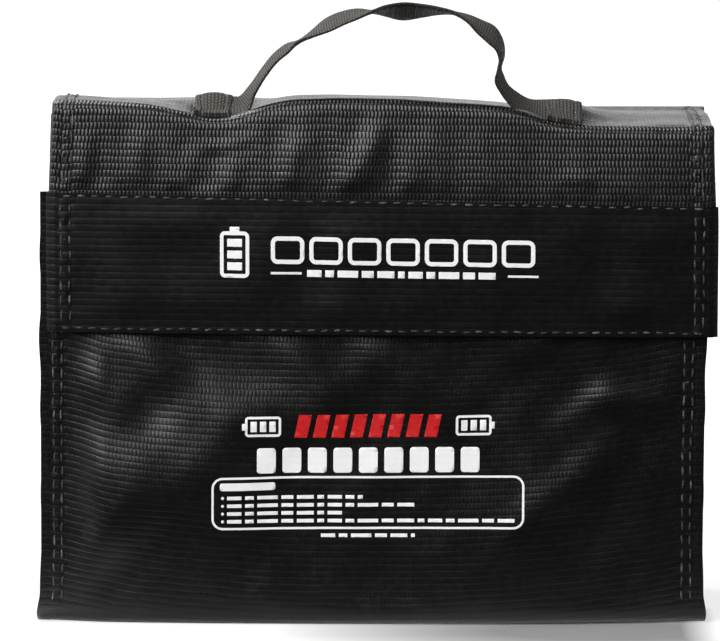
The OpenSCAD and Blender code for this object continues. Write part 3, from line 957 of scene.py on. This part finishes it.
# ------------------------------------------------------------------ thread
def stitch_row(cloth, start, end, pitch, share=0.72, lift=0.0):
    """Ends of the stitches along a straight row in the cloth's own coordinates."""
    start, end = np.array(start, float), np.array(end, float)
    length = np.linalg.norm(end - start)
    count = max(1, int(length / pitch))
    step = (end - start) / count
    first = start + step * np.arange(count)[:, None] + step * (1 - share) / 2
    return cloth, first, first + step * share, lift


# A stitch is a bent rod of this many rings of points, with this many points to a ring.
RINGS = 7
RING = 6


def stitch_faces():
    """Faces of one stitch: its sides, then its two ends."""
    k = np.arange(RING)
    following = (k + 1) % RING
    faces = []
    for i in range(RINGS - 1):
        here, after = i * RING, (i + 1) * RING
        faces.append(np.stack([here + k, here + following, after + following, after + k], axis=1))
    faces.append(np.array([[0, 5, 2, 1], [5, 4, 3, 2]]))
    faces.append(np.array([[0, 1, 2, 5], [2, 3, 4, 5]]) + (RINGS - 1) * RING)
    return np.concatenate(faces)


def build_thread(name, rows, nodes, body=None, hinge=None, radius=0.42):
    """Stitches as short bent rods that dive into the cloth at both ends."""
    t = np.linspace(0, 1, RINGS)
    arch = np.sin(math.pi * t)
    around = np.linspace(0, math.tau, RING + 1)[:-1]
    faces = stitch_faces()
    draw = np.random.default_rng(len(name))
    points, quads, weave = [], [], []
    offset = 0
    for cloth, first, last, lift in rows:
        n = len(first)
        swing = draw.normal(0, 0.14, (n, 2, 2))
        a, b = first + swing[:, 0], last + swing[:, 1]
        place = a[:, None] * (1 - t[None, :, None]) + b[:, None] * t[None, :, None]
        base, normal, _ = cloth.read(place[..., 0], place[..., 1])
        height = lift - 0.35 + 0.62 * arch ** 0.7
        line = base + normal * height[None, :, None]
        ahead = unit(np.gradient(line, axis=1))
        side = unit(np.cross(ahead, normal))
        up = np.cross(side, ahead)
        thick = radius * (0.55 + 0.45 * arch)[None, :, None, None]
        ring = (side[:, :, None] * np.cos(around)[None, None, :, None]
                + up[:, :, None] * np.sin(around)[None, None, :, None])
        tube = line[:, :, None] + ring * thick
        points.append(tube.reshape(-1, 3))
        shift = (np.arange(n) * RINGS * RING)[:, None, None]
        quads.append((faces[None] + shift + offset).reshape(-1, 4))
        length = np.linalg.norm(last - first, axis=1)
        wv = np.stack(np.broadcast_arrays(
            (t[None, :, None] * length[:, None, None] + first.sum(1)[:, None, None]),
            around[None, None, :] * radius,
        ), axis=3)
        weave.append(wv.reshape(-1, 2))
        offset += n * RINGS * RING
    obj = make_mesh(name, np.concatenate(points), np.concatenate(quads), np.concatenate(weave),
                    MATERIALS["thread"], sharp=75)
    tie(obj, nodes, body, hinge)


def side_rows(cloth, middle, half, v_low, v_high, lift=0.0):
    """The two rows of stitches along each side edge of a cloth."""
    rows = []
    for side in (-1, 1):
        for inset in THREAD_ROWS:
            u = middle + side * (half - inset)
            rows.append(stitch_row(cloth, (u, v_low), (u, v_high), STITCH, lift=lift))
    return rows


def build_all_thread():
    """The rows in the side seams, in the hems of lid and flap, and round the band."""
    z_low, z_high = 8, MOUTH_Z - 2
    for name, side in (("left", -1), ("right", 1)):
        rows = []
        for inset in THREAD_ROWS:
            u = side * (HALF_W - inset)
            rows.append(stitch_row(tub, (u, front_v(z_low)), (u, front_v(z_high)), STITCH))
            rows.append(stitch_row(cover, (u, back_v(RIM_Z - 8)), (u, back_v(z_low + 8)), STITCH))
        build_thread(name + "_seam_stitches", rows, [name + "_seam_thread"], "bag_body")
    build_thread("lid_hem_stitches",
                 side_rows(cover, LID_X, HALF_W, SPLIT_V + 1, lid_v(BACK_Y - 5)),
                 ["lid_edge_thread"], "lid")
    build_thread("flap_hem_stitches",
                 side_rows(cover, LID_X, HALF_W, BAND_H + 2, SPLIT_V - 1),
                 ["flap_edge_thread"], hinge=HINGE_FRONT)
    left, right = BAND_X - HALF_W, BAND_X + HALF_W
    lift = CLOTH + GAP
    rows = []
    for v, pitch, share in ((BAND_H - 0.9, 5.1, 0.55), (1.5, 4.6, 0.6)):
        rows.append(stitch_row(cover, (left + 4, v), (right - 4, v), pitch, share, lift))
    rows += side_rows(cover, BAND_X, HALF_W, 3, BAND_H - 3, lift=lift + GAP)
    build_thread("band_stitches", rows, ["band_thread"], "flap")


# ------------------------------------------------------------------ prints
def build_print(name, node, cloth, place_v, face_y, over, slot, body):
    """A flat CAD graphic laid on the soft cloth, cut fine enough to follow it.

    over gives the height above the cloth's grid of what the graphic is printed on.
    """
    cell = 2.0 * MM
    shape = bmesh.new()
    shape.from_mesh(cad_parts[node].data)
    bmesh.ops.remove_doubles(shape, verts=shape.verts, dist=1e-6)
    low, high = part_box(node)
    for axis in (0, 2):
        cut = math.ceil(low[axis] / cell) * cell
        normal = Vector((1, 0, 0)) if axis == 0 else Vector((0, 0, 1))
        while cut < high[axis]:
            geometry = shape.verts[:] + shape.edges[:] + shape.faces[:]
            bmesh.ops.bisect_plane(shape, geom=geometry, plane_co=normal * cut, plane_no=normal,
                                   dist=1e-7)
            cut += cell
    mesh = bpy.data.meshes.new(name)
    shape.to_mesh(mesh)
    shape.free()
    co = np.zeros(len(mesh.vertices) * 3, np.float32)
    mesh.vertices.foreach_get("co", co)
    co = co.reshape(-1, 3).astype(float) / MM
    u, v = co[:, 0], place_v(co[:, 2])
    height = face_y - co[:, 1] + over(u, v)
    points = cloth.at(u, v, height)
    mesh.vertices.foreach_set("co", (points * MM).astype(np.float32).ravel())
    obj = dress(name, mesh, cloth.read(u, v)[2], TAUT, SHARP, MATERIALS[slot])
    tie(obj, [node], body)


# ------------------------------------------------------------------ handle
def lid_place(x, y, height):
    """Points at a height above the lid."""
    return cover.at(np.asarray(x, float), lid_v(y), height)


def ribbon(name, centre, width_way, out_way, width, thick, material):
    """A flat webbing strap along centre points; width_way and out_way are unit vectors."""
    across = np.linspace(-0.5, 0.5, 15)
    rim = np.sqrt(np.clip(1 - (np.abs(across) * 2) ** 8, 0, 1))
    half = thick / 2
    top = centre[:, None] + width_way[:, None] * (across * width)[None, :, None]
    ribs = 0.10 * np.abs(np.sin(across * math.pi * 9))[None, :, None]
    bulge = out_way[:, None] * ((half * (0.35 + 0.65 * rim))[None, :, None] + ribs)
    upper, lower = top + bulge, top - bulge
    far = np.concatenate([[0], np.cumsum(np.linalg.norm(np.diff(centre, axis=0), axis=1))])
    weave = np.stack(np.broadcast_arrays((across * width)[None, :], far[:, None]), axis=2)
    return closed_sheet(name, upper, lower, weave, material)


# Front edge of the strap on the lid, and the insets of the stitches in its ends.
STRAP_Y = LID_FRONT_Y - 0.6
END_INSET_U = 2.4
END_INSET_V = 1.6


def build_strap_ends():
    """The strap's two ends, stitched flat on the lid, and their bar tacks."""
    pitch, share, step = 2.6, 0.8, 0.65
    for name, low, high in (("left", left_end_low, left_end_high),
                            ("right", right_end_low, right_end_high)):
        low, high = low - LID_SLIP, high - LID_SLIP
        us = spread(low[0], high[0], step)
        vs = spread(lid_v(STRAP_Y), lid_v(STRAP_Y + STRAP_W), step)
        u, v = np.meshgrid(us, vs, indexing="ij")
        edge_u = np.minimum(u - low[0], high[0] - u)
        edge_v = np.minimum(v - vs[0], vs[-1] - v)
        edge = np.minimum(edge_u, edge_v)
        ribs = 0.12 * np.abs(np.sin((v - vs[0]) * math.pi / 2.2)) * smooth(0.3, 1.6, edge)
        sewn = np.minimum(np.abs(edge_u - END_INSET_U), np.abs(edge_v - END_INSET_V))
        top = 1.7 + ribs + 0.5 * smooth(0, 1.2, edge) - 0.45 * bell(sewn, 0, 0.5)
        obj = cover.layer(name + "_strap_webbing", us, vs, top, 0.06, MATERIALS["webbing"])
        tie(obj, [name + "_strap_end"], "lid")
        u_rows = (low[0] + END_INSET_U, high[0] - END_INSET_U)
        v_rows = (vs[0] + END_INSET_V, vs[-1] - END_INSET_V)
        rows = []
        for u in u_rows:
            rows.append(stitch_row(cover, (u, v_rows[0]), (u, v_rows[1]), pitch, share, 1.6))
        for v in v_rows:
            rows.append(stitch_row(cover, (u_rows[0], v), (u_rows[1], v), pitch, share, 1.5))
        build_thread(name + "_strap_stitches", rows, [name + "_bar_tacks"], "lid", radius=0.3)


# The slack handle: share of the way across and rise above the lid, and how far the strap
# is rolled, in degrees (0 lies flat, positive shows its outer face to the front).
HANDLE_ROUTE = [
    (-0.94, 0.02, 17), (-0.865, 0.18, 7), (-0.79, 0.36, 4.5), (-0.71, 0.515, 4),
    (-0.64, 0.60, 3), (-0.57, 0.665, -5), (-0.49, 0.74, 0), (-0.39, 0.83, 8.5),
    (-0.29, 0.90, 8), (-0.20, 0.94, 4), (-0.11, 0.96, -6), (-0.02, 0.97, -17),
    (0.08, 0.965, -24), (0.19, 0.97, -20), (0.295, 0.97, -13), (0.40, 0.95, -6),
    (0.495, 0.89, 2), (0.57, 0.81, 10), (0.645, 0.73, 14), (0.69, 0.635, 9),
    (0.705, 0.515, 5), (0.69, 0.41, 3), (0.69, 0.32, 9), (0.72, 0.22, 8),
    (0.78, 0.12, 11), (0.87, 0.03, 14),
]


def build_handle():
    """The webbing between the strap ends."""
    low_x, high_x = left_end_high[0], right_end_low[0]
    middle, half = (low_x + high_x) / 2, (high_x - low_x) / 2
    y0 = STRAP_Y + STRAP_W / 2
    rows = np.array(HANDLE_ROUTE)
    base = lid_place(np.array([low_x, high_x]) - LID_SLIP, [y0, y0], 1.2)
    top = handle_high[2] - 1.0
    x = middle + half * rows[:, 0]
    ground = base[0, 2] + (base[1, 2] - base[0, 2]) * (rows[:, 0] + 1) / 2
    z = ground + (top - ground) * rows[:, 1]
    y = y0 + 2.0 * rows[:, 1] * (1 - rows[:, 1])
    left = [(low_x - 2.5, y0, base[0, 2] + 0.1), (low_x + 0.5, y0, base[0, 2])]
    right = [(high_x - 0.5, y0, base[1, 2]), (high_x + 2.5, y0, base[1, 2] + 0.1)]
    points = np.concatenate([left, np.stack([x, y, z], axis=1), right])
    roll = np.concatenate([[19, 19], rows[:, 2], [19, 19]])
    far = np.concatenate([[0], np.cumsum(np.linalg.norm(np.diff(points, axis=0), axis=1))])
    fine = np.linspace(0, far[-1], int(far[-1] / 0.7))

    centre = np.stack([eased(far, points[:, k], fine) for k in range(3)], axis=1)
    angle = np.radians(eased(far, roll, fine))
    ahead = unit(np.gradient(centre, axis=0))
    depth = np.array([0.0, 1.0, 0.0])
    up = unit(np.cross(ahead, np.broadcast_to(depth, ahead.shape)))
    wide = unit(np.cross(up, ahead))
    width_way = wide * np.cos(angle)[:, None] + up * np.sin(angle)[:, None]
    out_way = up * np.cos(angle)[:, None] - wide * np.sin(angle)[:, None]
    obj = ribbon("handle_webbing", centre, width_way, out_way, STRAP_W - 1.0, STRAP_T,
                 MATERIALS["webbing"])
    root = (base[0, 2] + base[1, 2]) / 2
    bend_low, bend_high = (root + 3) * MM, (root + 21) * MM
    tie(obj, ["handle_strap"],
        hinge=("lid", "handle", (0, y0 * MM, bend_low), (0, y0 * MM, bend_high)))


# ------------------------------------------------------------------ build everything
build_front_cloth()
build_back_and_lid()
build_flap()
build_band()
build_linings()
build_gusset("left", -1)
build_gusset("right", 1)
build_binding()
build_strip("hook_strip_tape", tub, hook_low[0], hook_high[0], front_v(hook_low[2]),
            front_v(hook_high[2]), 0.02, 0.5, hook_rows, "hook_strip", "bag_body", "hook_tape")
inside = -CLOTH - LINING - 0.06
build_strip("loop_strip_tape", cover, loop_low[0], loop_high[0], flap_v(loop_low[2]),
            flap_v(loop_high[2]), inside, inside - 0.85, lambda u, v: -loop_pile(u, v),
            "loop_strip", "flap", "loop_tape")
build_all_thread()
build_print("front_print", "front_graphic", tub, front_v, FRONT_Y,
            lambda u, v: GAP, "white_print", "bag_body")
build_print("front_accent_print", "front_accent", tub, front_v, FRONT_Y,
            lambda u, v: GAP, "red_print", "bag_body")
build_print("flap_print", "flap_graphic", cover, flap_v, band_low[1],
            lambda u, v: band_top(u, v) + GAP, "white_print", "flap")
build_strap_ends()
build_handle()


# ------------------------------------------------------------------ camera, floor and light
def build_camera():
    """A long lens a little above the bag, looking at its front."""
    target = Vector((-4.14, FRONT_Y, 111.7)) * MM
    elevation, away = math.radians(9), 2.0
    data = bpy.data.cameras.new("camera")
    data.sensor_width = 36
    data.lens = 277.5
    data.clip_start, data.clip_end = 0.05, 50
    camera = bpy.data.objects.new("camera", data)
    camera.location = target + away * Vector((0, -math.cos(elevation), math.sin(elevation)))
    camera.rotation_euler = (math.radians(90) - elevation, 0, 0)
    bpy.context.scene.collection.objects.link(camera)
    bpy.context.scene.camera = camera


# Middle and half size of the painted shadow in front of the bag, in metres.
SHADOW_X, SHADOW_Y = 0.085, -0.045
SHADOW_W, SHADOW_D = 0.085, 0.03


def build_floor():
    """A pale floor: white to the camera but for a painted soft shadow in front of the bag."""
    mesh = bpy.data.meshes.new("floor")
    half = 3.0
    sunk = 0.0002
    corners = [(-half, -half, 0), (half, -half, 0), (half, half, 0), (-half, half, 0)]
    mesh.from_pydata(corners, [], [(0, 1, 2, 3)])
    floor = bpy.data.objects.new("floor", mesh)
    floor.location.z = -sunk
    bpy.context.scene.collection.objects.link(floor)
    material, n = new_material("floor")
    path = n.add("ShaderNodeLightPath")
    place = n.add("ShaderNodeTexCoord").outputs["Object"]
    away = n.add("ShaderNodeVectorMath", {0: place}, operation="LENGTH").outputs["Value"]
    split = n.add("ShaderNodeSeparateXYZ", {"Vector": place})
    x, y = split.outputs[0], split.outputs[1]
    # To reflections and bounced light the floor is painted darker further in front of the bag:
    # painted shade that keeps the bag's front dark where it mirrors the floor.
    dim = n.ramp(y, -0.085, -0.045, 0.03, 1.0)
    share = path.outputs["Is Camera Ray"]
    seen = n.math("ADD", n.math("MULTIPLY", share, 0.22),
                  n.math("MULTIPLY", n.math("SUBTRACT", 1.0, share), dim))
    colour = n.add("ShaderNodeCombineXYZ", {0: seen, 1: seen, 2: seen}).outputs[0]
    matt = n.add("ShaderNodeBsdfDiffuse", {"Color": colour, "Roughness": 1.0})
    # The white glow is held back in an ellipse in front of the bag, and comes back beyond the
    # bag's right side: a painted shadow over the dim matt floor, which shows the real shadows.
    aside = n.math("DIVIDE", n.math("SUBTRACT", x, SHADOW_X), SHADOW_W)
    ahead = n.math("DIVIDE", n.math("ADD", y, -SHADOW_Y), SHADOW_D)
    from_shadow = n.math("ADD", n.math("POWER", aside, 2.0), n.math("POWER", ahead, 2.0))
    near = n.math("MAXIMUM", n.ramp(from_shadow, 0.2, 2.2), n.ramp(x, 0.112, 0.126))
    far = n.math("MULTIPLY", n.math("MULTIPLY", near, n.ramp(away, 0.2, 0.6, 0.78, 1.0)), share)
    white = n.add("ShaderNodeEmission", {"Color": (1, 1, 1, 1), "Strength": far})
    shader = n.add("ShaderNodeAddShader", {0: matt.outputs[0], 1: white.outputs[0]})
    n.add("ShaderNodeOutputMaterial", {"Surface": shader.outputs[0]})
    mesh.materials.append(material)


def area_light(name, place, size, power):
    """A rectangular lamp, in metres and watts, aimed at the middle of the bag."""
    data = bpy.data.lights.new(name, "AREA")
    data.shape = "RECTANGLE"
    data.size, data.size_y = size
    data.energy = power
    light = bpy.data.objects.new(name, data)
    light.location = place
    way = Vector((0, 0, 0.1)) - Vector(place)
    light.rotation_mode = "QUATERNION"
    light.rotation_quaternion = way.to_track_quat("-Z", "Y")
    bpy.context.scene.collection.objects.link(light)


def build_world():
    """White to the camera; for light and reflections a bright low backdrop, dim elsewhere."""
    world = bpy.data.worlds.new("studio")
    world.use_nodes = True
    bpy.context.scene.world = world
    n = Nodes(world)
    path = n.add("ShaderNodeLightPath")
    way = n.add("ShaderNodeSeparateXYZ",
                {"Vector": n.add("ShaderNodeTexCoord").outputs["Generated"]})
    around = n.ramp(way.outputs[1], -0.75, -0.1)
    low = n.ramp(way.outputs[2], 0.25, 0.6, 1.0, 0.0)
    side = n.ramp(way.outputs[0], -1.0, 1.0, 2.4, 0.25)
    back = n.math("MULTIPLY", n.math("MULTIPLY", around, low), side)
    strength = n.math("ADD", back, 0.03)
    share = path.outputs["Is Camera Ray"]
    strength = n.math("MAXIMUM", strength, n.math("MULTIPLY", share, 1.05))
    shader = n.add("ShaderNodeBackground", {"Color": (1, 1, 1, 1), "Strength": strength})
    n.add("ShaderNodeOutputWorld", {"Surface": shader.outputs[0]})


build_camera()
build_floor()
build_world()
area_light("overhead", (-0.5, 0.3, 1.2), (1.0, 0.9), 28)
area_light("front_left", (-1.0, -1.55, 1.05), (1.3, 1.1), 47)
area_light("front_right", (1.3, -1.1, 1.3), (0.5, 0.8), 10)
bpy.context.scene.view_settings.view_transform = "Standard"
